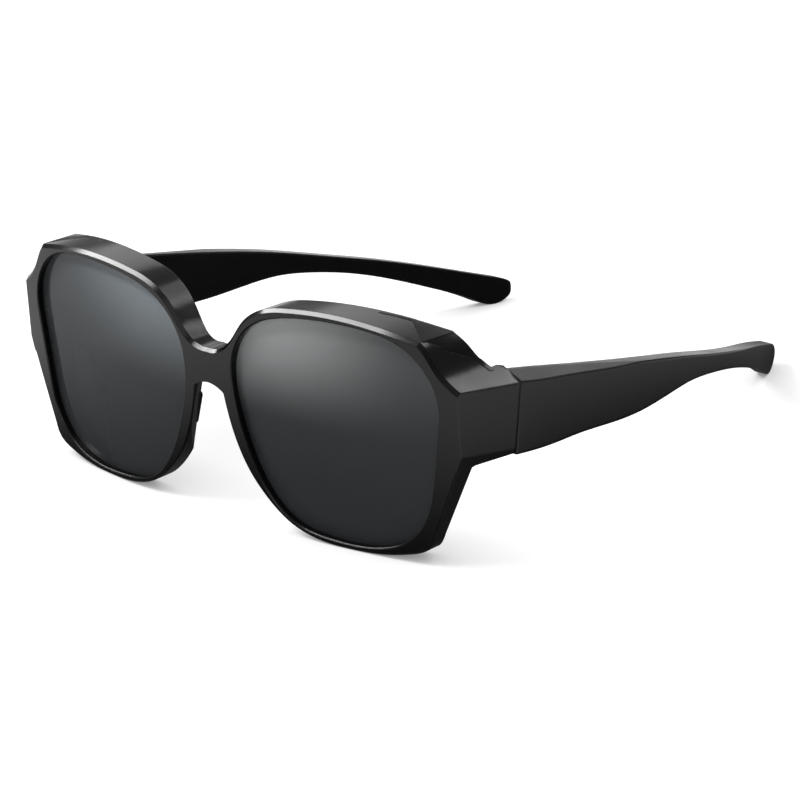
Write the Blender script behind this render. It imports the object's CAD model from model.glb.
# %% [markdown]
# # Fitover sunglasses
#
# A pair of black moulded fitover sunglasses stands open on a white table.
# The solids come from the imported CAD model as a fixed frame. This script
# gives them their finish and sets the camera and the light. Lengths are in
# metres, +Z is up, the lenses face -Y and +X is the wearer's left.

import bmesh
import bpy
from mathutils import Matrix, Vector


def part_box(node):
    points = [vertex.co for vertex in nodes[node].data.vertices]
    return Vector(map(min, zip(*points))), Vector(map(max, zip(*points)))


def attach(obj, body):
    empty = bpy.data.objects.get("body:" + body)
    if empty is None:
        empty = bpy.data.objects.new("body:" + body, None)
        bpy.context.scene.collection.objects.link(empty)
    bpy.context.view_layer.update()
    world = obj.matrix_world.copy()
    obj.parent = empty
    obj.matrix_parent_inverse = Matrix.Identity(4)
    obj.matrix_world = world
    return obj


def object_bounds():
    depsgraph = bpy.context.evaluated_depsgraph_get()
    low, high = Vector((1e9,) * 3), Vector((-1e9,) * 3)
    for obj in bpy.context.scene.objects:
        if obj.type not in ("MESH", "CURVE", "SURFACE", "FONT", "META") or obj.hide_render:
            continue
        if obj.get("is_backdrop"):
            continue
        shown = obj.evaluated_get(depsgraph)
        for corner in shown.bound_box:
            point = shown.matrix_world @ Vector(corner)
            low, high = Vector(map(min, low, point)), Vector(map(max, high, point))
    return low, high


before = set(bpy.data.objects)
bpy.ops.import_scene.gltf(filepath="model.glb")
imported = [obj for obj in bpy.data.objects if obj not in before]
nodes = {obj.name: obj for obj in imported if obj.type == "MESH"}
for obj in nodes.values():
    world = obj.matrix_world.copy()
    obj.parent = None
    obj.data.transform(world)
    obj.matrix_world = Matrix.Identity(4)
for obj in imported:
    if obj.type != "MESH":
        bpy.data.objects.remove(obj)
cad_low, cad_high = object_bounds()


def in_mm(lengths):
    """Lengths in metres as rounded millimetres, for the printed lines."""
    return [round(length * 1000, 1) for length in lengths]


print("CAD box in mm:", in_mm(high - low for low, high in zip(cad_low, cad_high)))

# %% [markdown]
# ## The camera
#
# The photograph is a long-lens product shot from the front, on the
# wearer's left and a little above. A camera could be aimed by a constraint,
# but this one was fitted: its place and turn were worked out from the lens
# rims, the hinge seams and the feet of the temples. So it is written as a
# point and three directions, which say exactly where it looks.

# %% Camera
CAMERA_PLACE = (0.637983, -0.660659, 0.352711)
CAMERA_RIGHT = Vector((0.7268524, 0.6841046, -0.0607172))
CAMERA_UP = Vector((-0.2015557, 0.2969907, 0.9333659))
CAMERA_BACK = Vector((0.6565523, -0.6661813, 0.3537536))


def add_object(name, data):
    """A new object in the scene that carries the given data."""
    thing = bpy.data.objects.new(name, data)
    bpy.context.scene.collection.objects.link(thing)
    return thing


def turned(right, up, back):
    """The turn that lays an object's own X, Y and Z along three directions."""
    return Matrix((right, up, back)).transposed().to_4x4()


camera_data = bpy.data.cameras.new("camera")
camera_data.sensor_width = 36.0
camera_data.lens = 175.17
camera_data.clip_start = 0.05
camera_data.clip_end = 50.0
camera = add_object("camera", camera_data)
camera.matrix_world = turned(CAMERA_RIGHT, CAMERA_UP, CAMERA_BACK)
camera.location = CAMERA_PLACE
bpy.context.scene.camera = camera
bpy.context.scene.view_settings.view_transform = "Standard"
print("camera at", [round(value, 3) for value in camera.location])

# %% [markdown]
# ## The table
#
# The background of the photograph is pure white, with only a soft shadow
# where the rims and the tips touch the table. A very bright floor would give
# that white, but it would also drown the shadow and light the glasses from
# below. So the table is one large plane of pale paint that answers each
# kind of ray in its own way. Seen by the camera or through a lens, a part of
# its brightness is its own, so that it stays white and keeps the shadow as a
# soft grey. Mirrored in the plastic it is white far off and darker close to
# the object, where the glasses shade it.

# %% Node helpers
WHITE = (1, 1, 1, 1)


def add_node(tree, kind, **settings):
    """A new node with its properties set by name."""
    node = tree.nodes.new(kind)
    for name, value in settings.items():
        setattr(node, name, value)
    return node


def new_material(name):
    """A material, its node tree and its Principled shader."""
    material = bpy.data.materials.new(name)
    material.use_nodes = True
    return material, material.node_tree, material.node_tree.nodes["Principled BSDF"]


def own_place(tree):
    """Where a point lies in the object's own space."""
    return add_node(tree, "ShaderNodeTexCoord").outputs["Object"]


def ramp(tree, value, reads, gives, smooth=False):
    """A value mapped from one range to another, and held at the ends."""
    node = add_node(tree, "ShaderNodeMapRange", interpolation_type="SMOOTHSTEP" if smooth else "LINEAR")
    for socket, number in zip(("From Min", "From Max", "To Min", "To Max"), (*reads, *gives)):
        node.inputs[socket].default_value = number
    tree.links.new(value, node.inputs["Value"])
    return node.outputs["Result"]


def reckoned(tree, operation, *values):
    """What a Math node makes of one or two values."""
    node = add_node(tree, "ShaderNodeMath", operation=operation)
    for value, socket in zip(values, node.inputs):
        tree.links.new(value, socket)
    return node.outputs[0]


def mixed(tree, share, first, second):
    """Two shaders mixed by a share."""
    mix = add_node(tree, "ShaderNodeMixShader")
    tree.links.new(share, mix.inputs[0])
    tree.links.new(first, mix.inputs[1])
    tree.links.new(second, mix.inputs[2])
    return mix.outputs[0]


# %% Table paint
FULL_RANGE = (0.0, 1.0)
# How near a rim or tip shades the paint, and how bright the paint is there and in the open
CONTACT_DISTANCE = 0.022
CONTACT_GLOW = (0.2, 0.8)
# How far from the middle of the object its mirrored shade starts and ends, and how bright both are
MIRRORED_REACH = (0.09, 0.185)
MIRRORED_GLOW = (0.08, 1.0)


def seen_paint(tree):
    """The paint as the camera sees it: white by its own light, and greyer where little light gets in."""
    closeness = add_node(tree, "ShaderNodeAmbientOcclusion", samples=8)
    closeness.inputs["Distance"].default_value = CONTACT_DISTANCE
    own = add_node(tree, "ShaderNodeEmission")
    own.inputs["Color"].default_value = WHITE
    tree.links.new(ramp(tree, closeness.outputs["AO"], FULL_RANGE, CONTACT_GLOW), own.inputs["Strength"])
    shade = add_node(tree, "ShaderNodeBsdfDiffuse")
    shade.inputs["Color"].default_value = (0.5, 0.5, 0.5, 1)
    both = add_node(tree, "ShaderNodeAddShader")
    tree.links.new(shade.outputs[0], both.inputs[0])
    tree.links.new(own.outputs[0], both.inputs[1])
    return both.outputs[0]


def mirrored_paint(tree):
    """The paint as the plastic mirrors it: white far off, darker close to the object."""
    distance = add_node(tree, "ShaderNodeVectorMath", operation="LENGTH")
    tree.links.new(own_place(tree), distance.inputs[0])
    falloff = ramp(tree, distance.outputs["Value"], MIRRORED_REACH, MIRRORED_GLOW, smooth=True)
    mirrored = add_node(tree, "ShaderNodeEmission")
    tree.links.new(falloff, mirrored.inputs["Strength"])
    return mirrored.outputs[0]


def table_paint():
    """Pale paint that lights the glasses as plain paint, and is seen and mirrored in its own ways."""
    paint, tree, shader = new_material("table_paint")
    shader.inputs["Base Color"].default_value = (0.8, 0.8, 0.8, 1)
    shader.inputs["Roughness"].default_value = 0.9
    shader.inputs["Specular IOR Level"].default_value = 0.1
    ray = add_node(tree, "ShaderNodeLightPath").outputs
    seen = reckoned(tree, "MAXIMUM", ray["Is Camera Ray"], ray["Is Transmission Ray"])
    plain = mixed(tree, ray["Is Glossy Ray"], shader.outputs[0], mirrored_paint(tree))
    surface = mixed(tree, seen, plain, seen_paint(tree))
    tree.links.new(surface, tree.nodes["Material Output"].inputs["Surface"])
    print("table paint has", len(tree.nodes), "nodes")
    return paint


paint = table_paint()

# %% Table
TABLE_HALF = 3.0


def make_table():
    """The white table, as a plane that is no part of the object."""
    corners = [(x * TABLE_HALF, y * TABLE_HALF, 0) for x, y in ((-1, -1), (1, -1), (1, 1), (-1, 1))]
    mesh = bpy.data.meshes.new("table")
    mesh.from_pydata(corners, [], [tuple(range(len(corners)))])
    mesh.materials.append(paint)
    table = add_object("table", mesh)
    table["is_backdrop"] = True
    return table


table = make_table()
print("table is", table.dimensions[0], "m wide")

# %% [markdown]
# ## The studio
#
# Black plastic shows its form by what it mirrors, so the light is chosen by
# the reflections. A picture of a studio could surround the object, but four
# lamps and a plain room are simpler to place. The room is dim at the horizon
# and a little paler overhead. A long soft box on the left runs along the arc
# that the brow's bevel mirrors. One behind serves the sweep beside the brow
# and the top bevel of the temples, and a weaker one at the back on the left
# serves the top of the brow. A faint one in front fills the lenses.

# %% World
ROOM_HEIGHTS = (0.3, 0.9)
ROOM_LIGHT = (0.14, 0.4)


def coordinate(tree, place, axis):
    """One coordinate of a place."""
    parts = add_node(tree, "ShaderNodeSeparateXYZ")
    tree.links.new(place, parts.inputs[0])
    return parts.outputs[axis]


world = bpy.data.worlds.new("studio")
world.use_nodes = True
bpy.context.scene.world = world
room = world.node_tree
background = room.nodes["Background"]
background.inputs["Color"].default_value = WHITE
height = coordinate(room, add_node(room, "ShaderNodeTexCoord").outputs["Generated"], "Z")
room.links.new(ramp(room, height, ROOM_HEIGHTS, ROOM_LIGHT), background.inputs["Strength"])
print("room light from", ROOM_LIGHT[0], "at the horizon to", ROOM_LIGHT[1], "overhead")

# %% Lamps
GLASSES_MIDDLE = Vector((0, 0, 0.03))
SOFT_BOXES = {
    "box_left": {"start": (-1.05, -0.18, 0.58), "end": (-0.24, -0.62, 1.0), "width": 0.18, "power": 11.0},
    "box_behind": {"start": (-0.17, 0.80, 0.85), "end": (0.53, 0.80, 0.85), "width": 0.16, "power": 1.5},
    "box_back_left": {"start": (-1.15, 0.62, 0.48), "end": (-0.10, 1.22, 0.55), "width": 0.34, "power": 1.4},
    "box_front": {"start": (0.10, -1.2, 0.75), "end": (0.80, -1.2, 0.75), "width": 0.7, "power": 1.0},
}


def soft_box(name, start, end, width, power):
    """A long area lamp between two places, turned to the middle of the glasses."""
    start, end = Vector(start), Vector(end)
    middle, length = (start + end) / 2, (end - start).length
    along = (end - start).normalized()
    away = middle - GLASSES_MIDDLE
    away = (away - away.dot(along) * along).normalized()
    lamp_data = bpy.data.lights.new(name, "AREA")
    lamp_data.shape = "RECTANGLE"
    lamp_data.size, lamp_data.size_y = length, width
    lamp_data.energy = power
    lamp = add_object(name, lamp_data)
    lamp.matrix_world = turned(along, away.cross(along), away)
    lamp.location = middle
    print(name, "is", round(length, 2), "m long, with", power, "W")
    return lamp


for name, sizes in SOFT_BOXES.items():
    soft_box(name, **sizes)

# %% [markdown]
# ## Black plastic
#
# The front and the temples are injection moulded from one black plastic and
# half polished. The surface is nearly black with a clear, slightly soft
# shine. A fine noise in the roughness and a very low bump stand for the
# moulded skin. Moulded edges are never sharp. A Bevel modifier could round
# them, but it needs tidy faces, and the solids come as long thin triangles.
# So a Bevel node turns the normal over a fraction of a millimetre at each
# edge, and there the polish is a little worn and paler.

# %% Plastic
PLASTIC_BLACK = (0.0035, 0.0035, 0.0038, 1)
WORN_EDGE = (0.05, 0.05, 0.051, 1)
# How far from the middle the softer edges of the end pieces start, and are full
END_EDGES = (0.0725, 0.074)
# The part of the noise that changes the shine, and how far it does so to each side
DRIFT_RANGE = (0.3, 0.7)
SHINIER, DULLER = 0.03, 0.04
# The cosine between the rounded and the flat normal without wear, and with full wear
WEAR_COSINES = (1.0, 0.8)


def noise(tree, place, scale, detail):
    """A fine even noise over a place."""
    node = add_node(tree, "ShaderNodeTexNoise")
    node.inputs["Scale"].default_value = scale
    node.inputs["Detail"].default_value = detail
    tree.links.new(place, node.inputs["Vector"])
    return node.outputs[0]


def blended(tree, share, first, second):
    """A colour between two fixed ones, by a share."""
    mix = add_node(tree, "ShaderNodeMix", data_type="RGBA")
    mix.inputs["A"].default_value = first
    mix.inputs["B"].default_value = second
    tree.links.new(share, mix.inputs["Factor"])
    return mix.outputs["Result"]


def edge_wear(tree, rounded_normal):
    """How far the rounded normal leaves the flat one, from 0 to 1."""
    flat = add_node(tree, "ShaderNodeNewGeometry")
    turn = add_node(tree, "ShaderNodeVectorMath", operation="DOT_PRODUCT")
    tree.links.new(rounded_normal, turn.inputs[0])
    tree.links.new(flat.outputs["Normal"], turn.inputs[1])
    return ramp(tree, turn.outputs["Value"], WEAR_COSINES, FULL_RANGE)


def moulded_black(name, inner_radius, end_radius, roughness):
    """Half-polished black plastic whose edges are rounder near the ends of the front."""
    material, tree, shader = new_material(name)
    place = own_place(tree)
    reach = reckoned(tree, "ABSOLUTE", coordinate(tree, place, "X"))
    rounding = add_node(tree, "ShaderNodeBevel", samples=8)
    tree.links.new(ramp(tree, reach, END_EDGES, (inner_radius, end_radius)), rounding.inputs["Radius"])
    # The moulded skin: a shine that drifts slowly, and a fine low bump
    drift = noise(tree, place, scale=90.0, detail=3.0)
    polish = ramp(tree, drift, DRIFT_RANGE, (roughness - SHINIER, roughness + DULLER))
    skin = add_node(tree, "ShaderNodeBump")
    skin.inputs["Strength"].default_value = 0.04
    skin.inputs["Distance"].default_value = 0.0001
    tree.links.new(noise(tree, place, scale=2600.0, detail=2.0), skin.inputs["Height"])
    tree.links.new(rounding.outputs[0], skin.inputs["Normal"])
    # The wear ends where the softer edges of the end pieces start
    short_of_ends = ramp(tree, reach, END_EDGES, (1.0, 0.0))
    worn = reckoned(tree, "MULTIPLY", edge_wear(tree, rounding.outputs[0]), short_of_ends)
    tree.links.new(blended(tree, worn, PLASTIC_BLACK, WORN_EDGE), shader.inputs["Base Color"])
    tree.links.new(polish, shader.inputs["Roughness"])
    tree.links.new(skin.outputs[0], shader.inputs["Normal"])
    shader.inputs["IOR"].default_value = 1.5
    shader.inputs["Specular IOR Level"].default_value = 0.35
    print(name, "has", len(tree.nodes), "nodes, with edges of", in_mm((inner_radius, end_radius)), "mm")
    return material


front_plastic = moulded_black("front_plastic", inner_radius=0.0002, end_radius=0.0009, roughness=0.17)
temple_plastic = moulded_black("temple_plastic", inner_radius=0.0008, end_radius=0.0010, roughness=0.2)

# %% [markdown]
# ## Tinted lenses
#
# The lenses are dark grey and let little light through. Clear tinted glass
# could be made with transmission, but so dark a lens shows its coat more
# than what lies behind it. So it is a glossy dark surface with a trace of
# transparency. The mirror coat is strongest at the top, towards the middle
# of the brow, and fades smoothly downwards. It is paler on the wearer's left
# lens, which is nearer to the camera.

# %% Lens
LENS_GREY = (0.034, 0.036, 0.039, 1)
LENS_COATS = {"left": (0.50, 0.52, 0.52, 1), "right": (0.26, 0.29, 0.31, 1)}
# Where the coat starts and is full, as shares of the lens's height and width
COAT_START_SHARE, COAT_BEYOND_SHARE = 0.47, 0.03
COAT_OUTER_SHARE, COAT_INNER_SHARE = 0.10, 0.15
COAT_LEAST = 0.15
WIPED_ROUGHNESS = (0.05, 0.11)


def tinted_lens(side, coat):
    """Dark grey lens material whose coat fades from the top down, over the box of one lens."""
    material, tree, shader = new_material(f"{side}_lens_tint")
    low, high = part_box(f"{side}_lens")
    place = own_place(tree)
    lens_height = high[2] - low[2]
    heights = (low[2] + COAT_START_SHARE * lens_height, high[2] + COAT_BEYOND_SHARE * lens_height)
    upwards = ramp(tree, coordinate(tree, place, "Z"), heights, FULL_RANGE, smooth=True)
    # The coat also fades towards the temple side
    outer, inner = (high[0], low[0]) if side == "left" else (low[0], high[0])
    widths = (outer - COAT_OUTER_SHARE * (outer - inner), inner + COAT_INNER_SHARE * (outer - inner))
    inwards = ramp(tree, coordinate(tree, place, "X"), widths, (COAT_LEAST, 1.0), smooth=True)
    fade = reckoned(tree, "MULTIPLY", upwards, inwards)
    tree.links.new(blended(tree, fade, LENS_GREY, coat), shader.inputs["Base Color"])
    # A trace of wiping marks
    marks = noise(tree, place, scale=60.0, detail=4.0)
    tree.links.new(ramp(tree, marks, FULL_RANGE, WIPED_ROUGHNESS), shader.inputs["Roughness"])
    shader.inputs["IOR"].default_value = 1.5
    shader.inputs["Specular IOR Level"].default_value = 0.15
    shader.inputs["Alpha"].default_value = 0.94
    print(side, "lens coat starts", *in_mm(heights[:1]), "mm above the table")
    return material


lens_tints = {side: tinted_lens(side, coat) for side, coat in LENS_COATS.items()}

# %% [markdown]
# ## Hinge metal
#
# The leaves, the hinge screws and the small screws are plated steel. The
# leaves are brushed lightly along their length, the screws are smoother.
# Brushing could be cut as fine grooves, but at this size it only changes how
# sharp the reflection is. So one noise drives the roughness, and it is
# stretched along the leaves and left even on the screws.

# %% Metal
STEEL = (0.50, 0.49, 0.47, 1)
STEEL_EDGE = 0.00012
BRUSHED_SHINIER, BRUSHED_DULLER = 0.06, 0.1


def plated_steel(name, roughness, stretch):
    """Plated steel with fine brushing marks."""
    material, tree, shader = new_material(name)
    along = add_node(tree, "ShaderNodeMapping")
    along.inputs["Scale"].default_value = (1.0, stretch, 1.0)
    tree.links.new(own_place(tree), along.inputs["Vector"])
    marks = noise(tree, along.outputs[0], scale=4000.0, detail=2.0)
    brushed = ramp(tree, marks, FULL_RANGE, (roughness - BRUSHED_SHINIER, roughness + BRUSHED_DULLER))
    tree.links.new(brushed, shader.inputs["Roughness"])
    rounding = add_node(tree, "ShaderNodeBevel", samples=6)
    rounding.inputs["Radius"].default_value = STEEL_EDGE
    tree.links.new(rounding.outputs[0], shader.inputs["Normal"])
    shader.inputs["Base Color"].default_value = STEEL
    shader.inputs["Metallic"].default_value = 1.0
    print(name, "has a roughness of about", roughness)
    return material


leaf_steel = plated_steel("leaf_steel", roughness=0.34, stretch=0.06)
screw_steel = plated_steel("screw_steel", roughness=0.26, stretch=1.0)

# %% [markdown]
# ## The back of the brow's corners
#
# On the real front the brow and the swept corner go back as one thin wall
# as far as the line between the brow's corner and the end piece. The CAD
# solid is trimmed lower there, by the plane that brings the end piece down
# to the temple. The missing stretch of wall could be cut from a thick block
# with Booleans, but its faces have to continue the solid's own. So it is
# built for each side as a loft of short sections along the same outline.
# These cells work in millimetres, with the sizes of the CAD source.

# %% Outline of the brow and the swept corner
MM = 0.001
HALF_WIDTH = 73.0
HEIGHT = 57.8
# Each share is a point of the outline: across the half width, and up the height
BROW_SHARES = [(0.534, 1.0), (0.638, 0.994), (0.755, 0.975), (0.871, 0.946)]
SWEEP_SHARES = [(0.871, 0.946), (0.904, 0.898), (0.930, 0.846), (0.952, 0.811), (0.975, 0.784)]
BROW_STEPS, SWEEP_STEPS = 8, 6


def curve_points(shares, steps, first):
    """Points and inward directions along a smooth curve, from the stretch numbered first to its end."""
    knots = [Vector((across * HALF_WIDTH, up * HEIGHT)) for across, up in shares]
    found = []
    for number in range(first, len(knots) - 1):
        start, end = knots[number], knots[number + 1]
        before = knots[number - 1] if number > 0 else start - (end - start)
        after = knots[number + 2] if number + 2 < len(knots) else end + (end - start)
        leave, arrive = (end - before) / 2, (after - start) / 2
        for step in range(steps + (number == len(knots) - 2)):
            t = step / steps
            point = ((2 * t ** 3 - 3 * t ** 2 + 1) * start + (t ** 3 - 2 * t ** 2 + t) * leave
                     + (3 * t ** 2 - 2 * t ** 3) * end + (t ** 3 - t ** 2) * arrive)
            along = ((6 * t ** 2 - 6 * t) * (start - end) + (3 * t ** 2 - 4 * t + 1) * leave
                     + (3 * t ** 2 - 2 * t) * arrive).normalized()
            found.append((point, Vector((along.y, -along.x))))
    return found


# The sweep starts where the brow ends, so the brow's own last point is left out
stations = curve_points(BROW_SHARES, BROW_STEPS, first=1)[:-1]
stations += curve_points(SWEEP_SHARES, SWEEP_STEPS, first=0)
print(len(stations), "sections, from", round(stations[0][0].x, 1), "to", round(stations[-1][0].x, 1),
      "mm from the middle")

# %% [markdown]
# ### Where the wall lies
#
# The front face is a cylinder. The outside of the wall falls a little
# towards the back while its inside runs level, so the wall gets thinner on
# the way. Three functions say where the wall ends, where a point of it lies
# and where the solid's trimming plane meets it. That last place could be
# solved on paper, but halving a stretch until it is found reads plainly.

# %% Places on the wall
FRONT_Y = -77.5
FACE_RADIUS = 320.0
TOP_FALL = 0.042
WALL = 2.4
# The wall has that thickness on the plane where the CAD source draws it, in front of the face
DRAWING_LEAD = 5.0
# The brow's wall reaches back its full depth at the corner, and less towards the bridge
CORNER_X, CORNER_WALL = 63.58, 12.0
BROW_START_SHARE, BROW_START_WALL_SHARE = 0.70, 0.874
END_INNER_X, END_WALL = 70.35, 15.1
# The trimming plane rises forwards and inwards from the seam's outer top corner
END_X, SEAM_Y, SEAM_Z = 75.75, -50.56, 42.06
TRIM_RISE = 0.38
END_BEVEL_DROP, END_BEVEL_WIDTH = 2.1, 4.6
HALVINGS = 30


def face_depth(x):
    """How far the curved front face lies behind its middle."""
    return FACE_RADIUS - (FACE_RADIUS ** 2 - x ** 2) ** 0.5


def back_place(x):
    """Where the wall ends towards the back, at a distance x from the middle."""
    if x < CORNER_X:
        start = BROW_START_SHARE * HALF_WIDTH
        share = BROW_START_WALL_SHARE + (1 - BROW_START_WALL_SHARE) * (x - start) / (CORNER_X - start)
        return FRONT_Y + face_depth(x) + share * CORNER_WALL
    corner = FRONT_Y + face_depth(CORNER_X) + CORNER_WALL
    end = FRONT_Y + face_depth(END_INNER_X) + END_WALL
    return corner + (x - CORNER_X) * (end - corner) / (END_INNER_X - CORNER_X)


def wall_point(point, inward, y, share):
    """Point of the wall at a place along Y, from its outside (0) to its inside (1)."""
    top = point.y - TOP_FALL * (y - FRONT_Y - face_depth(point.x))
    low = point.y + TOP_FALL * (DRAWING_LEAD + face_depth(point.x)) + WALL * inward.y
    return Vector((point.x + share * WALL * inward.x, y, top + share * (low - top)))


def trim_place(point, inward, share):
    """Where the trimming plane of the solid meets the wall along Y."""
    near, far = FRONT_Y, SEAM_Y
    for _ in range(HALVINGS):
        middle = (near + far) / 2
        place = wall_point(point, inward, middle, share)
        side_rise = END_BEVEL_DROP / END_BEVEL_WIDTH * (END_X - place.x)
        if place.z < SEAM_Z + TRIM_RISE * (SEAM_Y - middle) + side_rise:
            near = middle
        else:
            far = middle
    return (near + far) / 2


for label, (point, _) in (("first", stations[0]), ("last", stations[-1])):
    reach = back_place(point.x) - FRONT_Y
    print("the", label, "section ends", round(reach, 1), "mm behind the middle of the front")

# %% [markdown]
# ### Sections and loft
#
# Each section starts inside the solid's wall, so that no seam can open. It
# comes out less than a tenth of a millimetre proud of it, so that the two
# faces never lie in one place, and ends in a bevelled back edge. Blender's
# Bridge tool could join the sections, but it chooses which corners to join.
# Here each corner goes with the same one of the next section, so the faces
# are written one by one. The other side is the mirror image.

# %% Wall section
# Places along Y: ahead of the solid's trimmed edge, and ahead of the back edge
OUTER_ROOT, OUTER_RISE, OUTER_FLUSH = 1.6, 1.2, 0.8
INNER_ROOT, INNER_FLUSH = 0.9, 0.3
LEAST_WALL = 0.6
BACK_BEVEL = 0.3
# Places through the wall, as shares of it
SINK_SHARE = 0.2
OUTER_LIFT_SHARE, INNER_LIFT_SHARE = 0.03, 0.02
BEVEL_SHARE = 0.18


def wall_section(point, inward):
    """One closed section of the wall, from its outer root round the back edge to its inner root."""
    back = back_place(point.x)
    outer_trim = min(trim_place(point, inward, 0), back - LEAST_WALL)
    inner_trim = max(outer_trim, min(trim_place(point, inward, 1), back - LEAST_WALL))
    section = [
        (outer_trim - OUTER_ROOT, SINK_SHARE),
        (outer_trim - OUTER_RISE, 0),
        (outer_trim - OUTER_FLUSH, -OUTER_LIFT_SHARE),
        (back - BACK_BEVEL, -OUTER_LIFT_SHARE),
        (back, BEVEL_SHARE),
        (back, 1 - BEVEL_SHARE),
        (back - BACK_BEVEL, 1 + INNER_LIFT_SHARE),
        (inner_trim - INNER_FLUSH, 1 + INNER_LIFT_SHARE),
        (inner_trim - INNER_ROOT, 1 - SINK_SHARE),
    ]
    return [wall_point(point, inward, y, share) for y, share in section]


sections = [wall_section(point, inward) for point, inward in stations]
print("each section has", len(sections[0]), "corners")

# %% Brow corner pieces
SHARP_ANGLE = 0.5


def loft(name, rings):
    """A closed mesh through rings of equal length, capped at both ends."""
    count = len(rings[0])
    verts = [corner for ring in rings for corner in ring]
    faces = [tuple(range(count)), tuple(reversed(range(len(verts) - count, len(verts))))]
    for number in range(len(rings) - 1):
        near, far = number * count, (number + 1) * count
        for corner in range(count):
            after = (corner + 1) % count
            faces.append((near + corner, far + corner, far + after, near + after))
    mesh = bpy.data.meshes.new(name)
    mesh.from_pydata(verts, [], faces)
    shell = bmesh.new()
    shell.from_mesh(mesh)
    bmesh.ops.recalc_face_normals(shell, faces=shell.faces)
    shell.to_mesh(mesh)
    shell.free()
    mesh.shade_smooth()
    mesh.set_sharp_from_angle(angle=SHARP_ANGLE)
    return mesh


def brow_corner(name, way):
    """The missing stretch of wall on one side, where way is 1 for the left and -1 for the right."""
    rings = [[(way * place.x * MM, place.y * MM, place.z * MM) for place in ring] for ring in sections]
    mesh = loft(name, rings)
    mesh.materials.append(front_plastic)
    piece = add_object(name, mesh)
    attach(piece, "front")
    return piece


for name, way in (("left_brow_corner", 1), ("right_brow_corner", -1)):
    piece = brow_corner(name, way)
    print(name, in_mm(piece.dimensions), "mm,", len(piece.data.polygons), "faces")

# %% [markdown]
# ## Dressing the pieces
#
# The CAD solids already have the shapes of the real pieces, so each keeps
# its mesh. Every piece could be given its material by hand, but the two
# sides are alike. So one table names the finish of each kind of piece, and
# a loop gives it to both sides.

# %% Finish each node
FINISHES = {
    "temple": temple_plastic,
    "front_hinge": leaf_steel,
    "temple_hinge": leaf_steel,
    "hinge_screw": screw_steel,
    "front_hinge_fixings": screw_steel,
    "temple_hinge_fixings": screw_steel,
}


def dress(name, material):
    """Gives one CAD piece its material."""
    slots = nodes[name].data.materials
    slots.clear()
    slots.append(material)


dress("front_frame", front_plastic)
for side, tint in lens_tints.items():
    dress(f"{side}_lens", tint)
    for kind, finish in FINISHES.items():
        dress(f"{side}_{kind}", finish)
print("dressed", len(nodes), "pieces")

# %% [markdown]
# ## Closing
#
# The box of the dressed object is written beside that of the solids, to
# show that nothing sticks out of the CAD model.

# %% Sizes and finish
low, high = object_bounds()
print("dressed box in mm:", in_mm(top - bottom for bottom, top in zip(low, high)))
